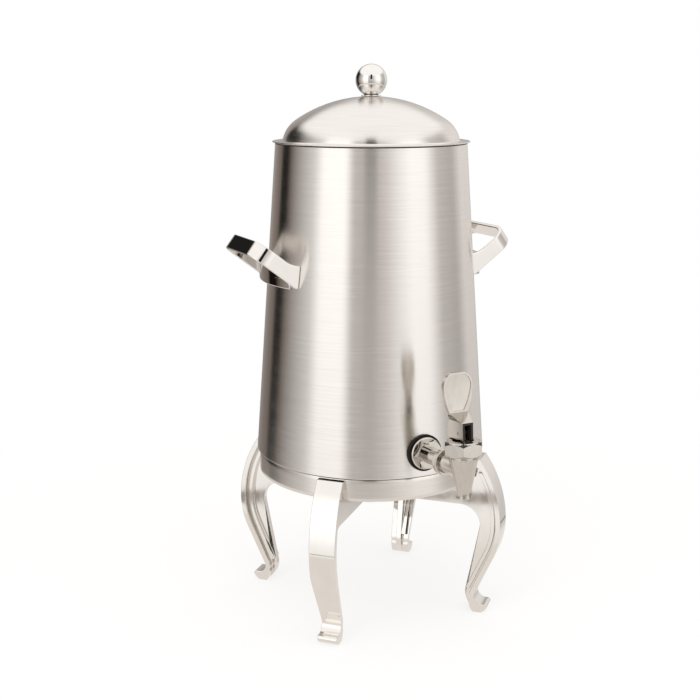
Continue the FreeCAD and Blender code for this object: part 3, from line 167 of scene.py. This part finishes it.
FLOOR_RADIUS, FLOOR_LEVEL, FLOOR_SIDES = 2.6, -0.0004, 64
floor_mesh = bpy.data.meshes.new("paper_floor")
rim = [(FLOOR_RADIUS * math.cos(2 * math.pi * k / FLOOR_SIDES),
        FLOOR_RADIUS * math.sin(2 * math.pi * k / FLOOR_SIDES), FLOOR_LEVEL) for k in range(FLOOR_SIDES)]
floor_mesh.from_pydata(rim, [], [list(range(FLOOR_SIDES))])
paper_floor = bpy.data.objects.new("paper_floor", floor_mesh)
bpy.context.scene.collection.objects.link(paper_floor)
paper = bpy.data.materials.new("white_paper_floor")
paper.use_nodes = True
sheet = paper.node_tree
sheet.nodes.clear()
matt = add(sheet, "ShaderNodeBsdfDiffuse", inputs={0: linear("#f2f0ed")})
glow = add(sheet, "ShaderNodeEmission", inputs={0: (1, 1, 1, 1), 1: 1.0})
# The soft shadow is kept near the feet, and further out the paper runs over into plain white.
spot = add(sheet, "ShaderNodeVectorMath", {0: add(sheet, "ShaderNodeTexCoord").outputs["Object"]},
           operation="LENGTH")
fade = add(sheet, "ShaderNodeMapRange", {0: spot.outputs["Value"]}, {1: 0.25, 2: 0.95, 3: 0.78, 4: 1.0},
           interpolation_type="SMOOTHSTEP")
ray = add(sheet, "ShaderNodeLightPath")
share_white = add(sheet, "ShaderNodeMath", {0: fade.outputs[0], 1: ray.outputs["Is Camera Ray"]},
                  operation="MULTIPLY")
paper_mix = add(sheet, "ShaderNodeMixShader", {0: share_white.outputs[0], 1: matt.outputs[0],
                                               2: glow.outputs[0]})
add(sheet, "ShaderNodeOutputMaterial", {0: paper_mix.outputs[0]})
floor_mesh.materials.append(paper)
paper_floor.visible_glossy = False

# Softboxes by name, place, aim, breadth in metres and power in watts.
for lamp_name, place, aim, breadth, power in (
        ("ceiling_softbox", (-0.5, -0.7, 1.9), (0, 0, 0.4), 1.3, 9.0),
        ("left_softbox", (-1.9, -0.9, 1.1), (0, 0, 0.35), 1.0, 7.0),
        ("right_softbox", (1.5, -1.5, 1.2), (0, 0, 0.35), 0.9, 5.0)):
    softbox = bpy.data.objects.new(lamp_name, bpy.data.lights.new(lamp_name, "AREA"))
    softbox.data.size = breadth
    softbox.data.energy = power
    softbox.visible_glossy = False
    softbox.location = place
    softbox.rotation_euler = (Vector(aim) - Vector(place)).to_track_quat("-Z", "Y").to_euler()
    bpy.context.scene.collection.objects.link(softbox)


# Body shell
# One tapered drum of rolled 18/8 stainless sheet, seam welded and ground flush, then brushed round
# and round on a lathe. The fine level scratches smear every reflection into upright bands.

def finish(name, make):
    """A node material: make(tree, surface) fills it in."""
    material = bpy.data.materials.new(name)
    material.use_nodes = True
    tree = material.node_tree
    tree.nodes.clear()
    surface = add(tree, "ShaderNodeBsdfPrincipled")
    add(tree, "ShaderNodeOutputMaterial", {0: surface.outputs[0]})
    make(tree, surface)
    return material


def grain(tree, size, detail=3.0):
    """Noise in the piece's own coordinates, with grains of a size in millimetres along each axis."""
    place = add(tree, "ShaderNodeTexCoord")
    stretched = add(tree, "ShaderNodeMapping", {0: place.outputs["Object"]}, {3: [1000 / s for s in size]})
    return add(tree, "ShaderNodeTexNoise", {0: stretched.outputs[0]},
               {"Scale": 1.0, "Detail": detail, "Roughness": 0.6}).outputs[0]


def remap(tree, source, low, high):
    """Noise, which lies mostly between 0.3 and 0.7, brought to a range."""
    return add(tree, "ShaderNodeMapRange", {0: source}, {1: 0.3, 2: 0.7, 3: low, 4: high}).outputs[0]


def tint(tree, surface, source, dark, light):
    """Colour a surface between two hex colours by a value."""
    mixed = add(tree, "ShaderNodeMix", {0: source}, {6: linear(dark), 7: linear(light)}, data_type="RGBA")
    tree.links.new(mixed.outputs[2], surface.inputs["Base Color"])


# Scratches are about 0.1 mm apart in the metal, and are drawn 0.6 mm apart so that they show.
SCRATCH = (70, 70, 0.6)
# The pressure of the brush wanders in level bands about 12 mm high.
BRUSH_BANDS = (50, 50, 12)


def brush_round(tree, surface):
    scratches = grain(tree, SCRATCH)
    bands = grain(tree, BRUSH_BANDS)
    tint(tree, surface, remap(tree, scratches, 0.0, 1.0), "#e3deda", "#ece9e5")
    surface.inputs["Metallic"].default_value = 1.0
    rough = add(tree, "ShaderNodeMath", {0: remap(tree, scratches, 0.20, 0.26),
                                         1: remap(tree, bands, -0.015, 0.015)}, operation="ADD")
    tree.links.new(rough.outputs[0], surface.inputs["Roughness"])
    surface.inputs["Anisotropic"].default_value = 0.8
    surface.inputs["Anisotropic Rotation"].default_value = 0.25
    around_urn = add(tree, "ShaderNodeTangent", direction_type="RADIAL", axis="Z")
    tree.links.new(around_urn.outputs[0], surface.inputs["Tangent"])
    bump = add(tree, "ShaderNodeBump", {"Height": scratches}, {"Strength": 0.015, "Distance": 0.0001})
    tree.links.new(bump.outputs[0], surface.inputs["Normal"])


brushed_steel = finish("brushed_stainless_steel", brush_round)


def place_mesh(name, shape, material):
    """Put a finished bmesh into the scene as a smooth piece of one material."""
    bmesh.ops.recalc_face_normals(shape, faces=shape.faces)
    mesh = bpy.data.meshes.new(name)
    shape.to_mesh(mesh)
    shape.free()
    mesh.polygons.foreach_set("use_smooth", [True] * len(mesh.polygons))
    mesh.materials.append(material)
    piece = bpy.data.objects.new(name, mesh)
    bpy.context.scene.collection.objects.link(piece)
    return piece


def lathe(name, outline, material, segments=288):
    """A fine turned piece: (radius, height) points round the Z axis, with rounded runs shaded smooth."""
    shape = bmesh.new()
    bearings = [2 * math.pi * k / segments for k in range(segments)]
    rings = []
    for radius, level in outline:
        on_axis = radius < 1e-6
        rings.append([shape.verts.new((0, 0, level))] if on_axis else
                     [shape.verts.new((radius * math.cos(turn), radius * math.sin(turn), level))
                      for turn in bearings])
    for lower, upper in zip(rings, rings[1:] + rings[:1]):
        if len(lower) == len(upper) == 1:
            continue
        for k in range(segments):
            corners = [lower[k % len(lower)], lower[(k + 1) % len(lower)],
                       upper[(k + 1) % len(upper)], upper[k % len(upper)]]
            shape.faces.new(list(dict.fromkeys(corners)))
    piece = place_mesh(name, shape, material)
    piece.data.set_sharp_from_angle(angle=math.radians(35))
    return piece


def arc(centre, radius, start, end, steps):
    """Points of an arc in the (radius, height) plane, by angles in degrees."""
    turns = [math.radians(start + (end - start) * k / steps) for k in range(steps + 1)]
    return [(centre[0] + radius * math.cos(turn), centre[1] + radius * math.sin(turn)) for turn in turns]


def dress(node, piece, body):
    """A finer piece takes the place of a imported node."""
    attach(piece, body)
    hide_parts(node)


SHELL_FOOT, SHELL_TOP = 0.2159, 0.6132
SHELL_FOOT_RADIUS, SHELL_TOP_RADIUS = 0.1500, 0.1211
SHEET = 0.001
FLANGE_RADIUS = 0.138
FOOT_BEND = 0.0012
TOP_EDGE = 0.0013
WALL_ROWS = 24


def wall_radius(level):
    """Outside radius of the shell at a height."""
    taper = (SHELL_FOOT_RADIUS - SHELL_TOP_RADIUS) / (SHELL_TOP - SHELL_FOOT)
    return SHELL_FOOT_RADIUS - (level - SHELL_FOOT) * taper


# Rows of points up the wall keep the long cone evenly shaded, and the lower edge is turned in.
wall_foot = SHELL_FOOT + FOOT_BEND
wall_rows = [wall_foot + (SHELL_TOP - TOP_EDGE - wall_foot) * k / WALL_ROWS for k in range(WALL_ROWS + 1)]
shell = lathe("body_shell", [
    (FLANGE_RADIUS, SHELL_FOOT),
    *arc((SHELL_FOOT_RADIUS - FOOT_BEND, wall_foot), FOOT_BEND, -90, 0, 5)[:-1],
    *[(wall_radius(level), level) for level in wall_rows],
    (SHELL_TOP_RADIUS, SHELL_TOP),
    (SHELL_TOP_RADIUS - SHEET, SHELL_TOP),
    (wall_radius(SHELL_FOOT + SHEET) - SHEET, SHELL_FOOT + SHEET),
    (FLANGE_RADIUS, SHELL_FOOT + SHEET),
], brushed_steel)


def darken(tree, surface):
    # the painted shade varies in streaks about 6 mm long and 2 mm high
    shade_streaks = grain(tree, (6, 6, 2))
    tint(tree, surface, shade_streaks, "#15100d", "#2b231e")
    tree.links.new(remap(tree, shade_streaks, 0.5, 0.7), surface.inputs["Roughness"])


# Painted shade, laid on faces in gaps, seams and recesses where shade falls. Near black and matt, it draws
# the edges and seams as thin dark lines.
painted_shade = finish("painted_shade_in_gaps", darken)


def paint(piece, material, chosen):
    """Give some faces of a piece another material: chosen(centre, normal) tells which."""
    piece.data.materials.append(material)
    for face in piece.data.polygons:
        if chosen(face.center, face.normal):
            face.material_index = len(piece.data.materials) - 1


# Painted shade: the top 1.3 mm of the wall is painted near black, as the shade under the lid's flange.
paint(shell, painted_shade, lambda centre, normal: centre.z > SHELL_TOP - TOP_EDGE)
dress("outer_shell", shell, "urn")


# Base band
# A rolled stainless hoop under the shell, brushed the same way. A narrow neck above it is painted near
# black, as painted shade in the gap where the shell sits down on it.

BAND_RADIUS, BAND_FOOT, BAND_TOP = 0.147, 0.1869, 0.2146
BAND_SHEET = 0.0015
NECK_RADIUS, NECK_INNER = 0.145, 0.137
BAND_ROWS = 6
band_low, band_high = BAND_FOOT + 0.0006, BAND_TOP - 0.0012
band = lathe("base_band_hoop", [
    (BAND_RADIUS - BAND_SHEET, BAND_FOOT),
    (BAND_RADIUS - 0.0004, BAND_FOOT),
    *[(BAND_RADIUS, band_low + (band_high - band_low) * k / BAND_ROWS) for k in range(BAND_ROWS + 1)],
    (BAND_RADIUS - 0.0004, BAND_TOP - 0.0004),
    (BAND_RADIUS - 0.0014, BAND_TOP),
    (NECK_RADIUS, BAND_TOP),
    (NECK_RADIUS, SHELL_FOOT),
    (NECK_INNER, SHELL_FOOT),
    (NECK_INNER, BAND_TOP - BAND_SHEET),
    (BAND_RADIUS - BAND_SHEET, BAND_TOP - BAND_SHEET),
], brushed_steel)
# Painted shade: the neck's faces are painted near black, as the shade in the gap under the shell.
paint(band, painted_shade, lambda centre, normal: BAND_TOP < centre.z < SHELL_FOOT)
dress("base_band", band, "urn")


# Inside of the vessel, its floor and the plate under the base
# Drawn and spun stainless sheet, welded at the mouth and the floor round the empty gap. It stays as it
# comes off the tool: even, soft and without brush lines.

def spin(tree, surface):
    # the spinning roller leaves rings about 4 mm apart
    rings = grain(tree, (20, 20, 4))
    tint(tree, surface, rings, "#c4c0bb", "#d6d2cd")
    tree.links.new(remap(tree, rings, 0.30, 0.40), surface.inputs["Roughness"])
    surface.inputs["Metallic"].default_value = 1.0


spun_steel = finish("spun_stainless_steel", spin)


def coat(names, material):
    """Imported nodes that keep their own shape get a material."""
    for name in names:
        mesh = nodes[name].data
        mesh.materials.clear()
        mesh.materials.append(material)


coat(["inner_vessel", "mouth_ring", "shell_floor", "getter_cap", "base_plate", "lid_liner", "port_tube",
      "clamp_disc"], spun_steel)


# Legs
# Sand cast in a zinc alloy, ground, and polished to a mirror under bright nickel. A flat strap in
# front, a bead behind it and a thin web that runs in under the base.

def polish(tree, surface):
    # the wheel leaves ripples two to three centimetres long
    ripple = grain(tree, (18, 18, 30), detail=2.0)
    tint(tree, surface, ripple, "#e4e0db", "#eeebe7")
    surface.inputs["Metallic"].default_value = 1.0
    tree.links.new(remap(tree, ripple, 0.03, 0.06), surface.inputs["Roughness"])


# Bright nickel is a warm mirror, only a little softened by the polishing wheel.
polished_nickel = finish("polished_nickel_plate", polish)


def ease(node, name, width, material, clamp=True):
    """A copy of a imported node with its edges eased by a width, as polishing leaves them."""
    piece = bpy.data.objects.new(name, nodes[node].data.copy())
    piece.data.name = name
    bpy.context.scene.collection.objects.link(piece)
    # flat faces are joined again first, so that the rounding runs along whole edges
    shape = bmesh.new()
    shape.from_mesh(piece.data)
    bmesh.ops.remove_doubles(shape, verts=shape.verts, dist=1e-6)
    bmesh.ops.dissolve_limit(shape, angle_limit=math.radians(0.3), verts=shape.verts, edges=shape.edges)
    shape.to_mesh(piece.data)
    shape.free()
    piece.data.materials.clear()
    piece.data.materials.append(material)
    piece.data.polygons.foreach_set("use_smooth", [True] * len(piece.data.polygons))
    rounding = piece.modifiers.new("eased_edges", "BEVEL")
    rounding.width = width
    rounding.segments = 3
    rounding.limit_method = "ANGLE"
    rounding.angle_limit = math.radians(32)
    rounding.use_clamp_overlap = clamp
    shading = piece.modifiers.new("even_shading", "WEIGHTED_NORMAL")
    shading.mode = "FACE_AREA"
    shading.weight = 100
    return piece


LEG_EDGE = 0.0006
for corner in ("front_right", "rear_right", "rear_left", "front_left"):
    leg = ease(f"leg_{corner}", f"cast_leg_{corner}", LEG_EDGE, polished_nickel, clamp=False)
    dress(f"leg_{corner}", leg, "urn")


# Handles
# Two zinc loops, cast, polished and plated as the legs are, each held by two studs in its foot. The
# hand meets them, so their edges are rounder.

HANDLE_EDGE = 0.0012
for side in ("right", "left"):
    loop = ease(f"handle_{side}", f"cast_handle_{side}", HANDLE_EDGE, polished_nickel, clamp=False)
    dress(f"handle_{side}", loop, "urn")


# Fasteners
# Bright steel screws, studs, washers and nuts, turned and left as machined: greyer than the nickel,
# with fine tool marks that dull the reflections.

def machine(tree, surface):
    # tool marks are about 0.2 mm apart, and are drawn 0.6 mm apart so that they show
    marks = grain(tree, (4, 4, 0.6))
    tint(tree, surface, marks, "#a9a6a2", "#c6c3be")
    surface.inputs["Metallic"].default_value = 1.0
    tree.links.new(remap(tree, marks, 0.22, 0.34), surface.inputs["Roughness"])


bright_steel = finish("machined_bright_steel", machine)
coat(["leg_screws", "clamp_stud", "clamp_nut", "handle_studs", "handle_grub_screws", "knob_screw",
      "knob_washer", "shank_washer", "shank_lock_nut", "valve_stem", "lever_pin"], bright_steel)


# Lid
# A dome spun from stainless sheet with a rolled rim, brushed in rings on the same lathe as the body,
# so that its highlights run down from the knob as a fan.

LID_SEAT = 0.6136
LID_SHEET_TOP = LID_SEAT + SHEET
LID_RADIUS = 0.1247
RIM_ROLL = 0.0008
DOME_RADIUS, DOME_APEX, CROWN, KNUCKLE, FOOT_FILLET = 0.1126, 0.670, 0.170, 0.040, 0.003
SCREW_HOLE = 0.0032
crown_axis = DOME_APEX - CROWN
crown_tilt = math.degrees(math.asin((DOME_RADIUS - KNUCKLE) / (CROWN - KNUCKLE)))
knuckle_axis = crown_axis + (CROWN - KNUCKLE) * math.cos(math.radians(crown_tilt))
knuckle_centre = (DOME_RADIUS - KNUCKLE, knuckle_axis)
shoulder = LID_SHEET_TOP + FOOT_FILLET
shoulder_tilt = math.degrees(math.asin((shoulder - knuckle_axis) / KNUCKLE))
side_radius = DOME_RADIUS - KNUCKLE + math.sqrt(KNUCKLE ** 2 - (shoulder - knuckle_axis) ** 2)
hole_tilt = math.degrees(math.asin(SCREW_HOLE / CROWN))
lid = lathe("lid_dome_shell", [
    (side_radius - SHEET, LID_SEAT),
    (LID_RADIUS - 0.0007, LID_SEAT),
    *arc((LID_RADIUS - RIM_ROLL, LID_SEAT + RIM_ROLL), RIM_ROLL, -80, 95, 9),
    (LID_RADIUS - 2 * RIM_ROLL, LID_SHEET_TOP + 0.0001),
    *arc((side_radius + FOOT_FILLET, shoulder), FOOT_FILLET, 270, 180, 6),
    *arc(knuckle_centre, KNUCKLE, shoulder_tilt, 90 - crown_tilt, 20)[1:],
    *arc((0, crown_axis), CROWN, 90 - crown_tilt, 90 - hole_tilt, 26)[1:],
    *arc((0, crown_axis), CROWN - SHEET, 90 - hole_tilt, 90 - crown_tilt, 10),
    *arc(knuckle_centre, KNUCKLE - SHEET, 90 - crown_tilt, shoulder_tilt, 8)[1:],
], brushed_steel)
dress("lid_dome", lid, "lid")


# Lid core
# Rigid polyurethane foam, poured between the dome and its liner and set there. It is straw yellow,
# finely celled and quite matt.

def pour(tree, surface):
    # cells are about 0.3 mm wide, and are drawn 1.5 mm wide so that they show
    cells = grain(tree, (1.5, 1.5, 1.5))
    tint(tree, surface, cells, "#d8c48e", "#efe0b4")
    surface.inputs["Roughness"].default_value = 0.9


coat(["lid_insulation"], finish("poured_rigid_foam", pour))


# Lid seal and valve cup
# Moulded food-grade silicone, pushed on where the lid and the valve close. It is milky white, with a
# faint bloom that keeps it matt.

def mould_pale(tree, surface):
    # the bloom lies in spots of about 3 mm
    bloom = grain(tree, (3, 3, 3))
    tint(tree, surface, bloom, "#dcd9d0", "#e8e5dd")
    surface.inputs["Roughness"].default_value = 0.55


coat(["lid_gasket", "seat_cup"], finish("moulded_silicone", mould_pale))


# Ball knob
# A turned brass ball on a short collar, held by a screw from inside the lid and plated with bright
# chrome. It is a mirror, with only a trace of haze.

def chrome(tree, surface):
    # the haze lies in clouds of about 10 mm
    haze = grain(tree, (10, 10, 10))
    tint(tree, surface, haze, "#e6e3df", "#efedea")
    surface.inputs["Metallic"].default_value = 1.0
    tree.links.new(remap(tree, haze, 0.025, 0.04), surface.inputs["Roughness"])


bright_chrome = finish("bright_chrome_plate", chrome)
BALL_RADIUS, BALL_MIDDLE, NECK = 0.0198, 0.6895, 0.0089
SCREW_GRIP = 0.013
KNOB_SEGMENTS = 160
neck_tilt = -math.degrees(math.acos(NECK / BALL_RADIUS))
ball_foot = BALL_MIDDLE - math.sqrt(BALL_RADIUS ** 2 - NECK ** 2)
ball = lathe("ball_knob", [
    (SCREW_HOLE, ball_foot),
    *arc((0, BALL_MIDDLE), BALL_RADIUS, neck_tilt, 89, 40),
    (0, BALL_MIDDLE + BALL_RADIUS),
    (0, ball_foot + SCREW_GRIP),
    (SCREW_HOLE, ball_foot + SCREW_GRIP),
], bright_chrome, KNOB_SEGMENTS)
dress("knob_ball", ball, "lid")

COLLAR_RADIUS = 0.013
collar = lathe("knob_collar_ring", [
    (SCREW_HOLE, DOME_APEX),
    (COLLAR_RADIUS - 0.0003, DOME_APEX),
    (COLLAR_RADIUS, DOME_APEX + 0.0004),
    (COLLAR_RADIUS - 0.0006, DOME_APEX + 0.0011),
    (COLLAR_RADIUS - 0.0022, DOME_APEX + 0.0015),
    (NECK - 0.0004, ball_foot),
    (SCREW_HOLE, ball_foot),
], bright_chrome, KNOB_SEGMENTS)
dress("knob_collar", collar, "lid")


# Tap
# Brass castings and turnings under nickel, screwed through the wall on a hollow shank. They are buffed
# but not mirror flat, so that their reflections waver.

def buff(tree, surface):
    # the cloth wheel leaves swirls 6 to 10 mm long
    swirl = grain(tree, (6, 6, 10))
    tint(tree, surface, swirl, "#c2bcb4", "#d6d1ca")
    surface.inputs["Metallic"].default_value = 1.0
    tree.links.new(remap(tree, swirl, 0.07, 0.12), surface.inputs["Roughness"])
    bump = add(tree, "ShaderNodeBump", {"Height": swirl}, {"Strength": 0.06, "Distance": 0.0004})
    tree.links.new(bump.outputs[0], surface.inputs["Normal"])


buffed_nickel = finish("buffed_nickel_on_brass", buff)
tap_pieces = {}
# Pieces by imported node, name, width of their eased edges in metres, and the body that they ride on.
for packed, name, width, body in (("tap_rose", "tap_rose_ring", 0.0006, "urn"),
                                  ("tap_nut", "tap_hex_nut", 0.0003, "urn"),
                                  ("tap_shank", "tap_shank_tube", 0.0003, "urn"),
                                  ("coupling_nut", "tap_coupling_ring", 0.0005, "urn"),
                                  ("tap_body", "tap_barrel", 0.0007, "urn"),
                                  ("bonnet", "tap_bonnet", 0.0003, "urn"),
                                  ("lever", "tap_lever", 0.0010, "lever")):
    tap_pieces[name] = ease(packed, name, width, buffed_nickel)
    dress(packed, tap_pieces[name], body)

# The tap's axis leans with the wall. Distances below run up that axis from the middle of the barrel.
# The bonnet's recess and the lever's fork are painted dark inside, as painted shade.
TAP_LEAN = math.radians(4.16)
TAP_ORIGIN = Vector((0, -0.24056, 0.25275))
tap_up = Vector((0, math.sin(TAP_LEAN), math.cos(TAP_LEAN)))
BONNET_TOP = 0.035
FORK_HALF_GAP, FORK_TOP = 0.0042, 0.0536
DISH_DEPTH = 0.0014


def up_the_tap(place):
    """Distance up the tap's axis and the way out from it."""
    offset = place - TAP_ORIGIN
    climb = offset.dot(tap_up)
    return climb, offset - tap_up * climb


def in_bonnet(centre, normal):
    """Faces of the bonnet that look inward, or upward from below its top."""
    climb, outward = up_the_tap(centre)
    looks_up = normal.dot(tap_up) > 0.5
    return normal.dot(outward.normalized()) < -0.2 or (looks_up and climb < BONNET_TOP - 0.001)


def in_fork(centre, normal):
    """Faces of the lever between the two cheeks of its fork."""
    return abs(centre.x) < FORK_HALF_GAP + 0.0002 and up_the_tap(centre)[0] < FORK_TOP


def hollow(piece, depth):
    """Sink the middle of the largest front face, so that the thumb rest is dished and not flat."""
    shape = bmesh.new()
    shape.from_mesh(piece.data)
    front = max((face for face in shape.faces if face.normal.y < -0.9), key=lambda face: face.calc_area())
    bmesh.ops.poke(shape, faces=[front], offset=-depth)
    for face in shape.faces:
        face.smooth = True
    shape.to_mesh(piece.data)
    shape.free()


hollow(tap_pieces["tap_lever"], DISH_DEPTH)
# Painted shade: the bonnet's recess and the inside of the lever's fork get the near-black painted
# material.
paint(tap_pieces["tap_bonnet"], painted_shade, in_bonnet)
paint(tap_pieces["tap_lever"], painted_shade, in_fork)


# Tap seal
# A moulded ring of black rubber, squeezed between the rose and the wall. It reads as a matt black line
# round the foot of the tap.

def mould_black(tree, surface):
    # the bloom lies in spots of about 2 mm
    bloom = grain(tree, (2, 2, 2))
    tint(tree, surface, bloom, "#0f0c0a", "#1a1613")
    tree.links.new(remap(tree, bloom, 0.5, 0.7), surface.inputs["Roughness"])
    surface.inputs["Specular IOR Level"].default_value = 0.2


coat(["tap_gasket"], finish("moulded_black_rubber", mould_black))


# Tap spring
# A wound steel spring round the valve stem, ground flat at both ends. It presses the valve shut, and
# shortens as the stem lifts.

SPRING_FOOT, SPRING_HEAD = -0.0005, 0.0270
COIL_RADIUS, WIRE_RADIUS, COIL_TURNS = 0.0055, 0.0009, 9
STEPS_A_TURN, WIRE_SIDES = 28, 10
# The first and last turns lie flat against each other.
FLAT_TURNS = 0.75

coil_shape = bmesh.new()
loops = []
for step in range(COIL_TURNS * STEPS_A_TURN + 1):
    turns = step / STEPS_A_TURN
    climb = min(max((turns - FLAT_TURNS) / (COIL_TURNS - 2 * FLAT_TURNS), 0.0), 1.0)
    level = SPRING_FOOT + WIRE_RADIUS * 1.05 + climb * (SPRING_HEAD - SPRING_FOOT - 2.1 * WIRE_RADIUS)
    loops.append([])
    for side in range(WIRE_SIDES):
        across = COIL_RADIUS + WIRE_RADIUS * math.cos(2 * math.pi * side / WIRE_SIDES)
        loops[-1].append(coil_shape.verts.new((
            across * math.cos(2 * math.pi * turns),
            across * math.sin(2 * math.pi * turns),
            level + WIRE_RADIUS * math.sin(2 * math.pi * side / WIRE_SIDES))))
for near, far in zip(loops, loops[1:]):
    for k in range(WIRE_SIDES):
        after = (k + 1) % WIRE_SIDES
        coil_shape.faces.new((near[k], near[after], far[after], far[k]))
for end in (loops[0], loops[-1]):
    coil_shape.faces.new(end)
coil = place_mesh("tap_coil", coil_shape, bright_steel)
coil.data.transform(Matrix.Translation(TAP_ORIGIN) @ Matrix.Rotation(-TAP_LEAN, 4, "X"))
dress("tap_spring", coil, "urn")
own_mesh(coil)
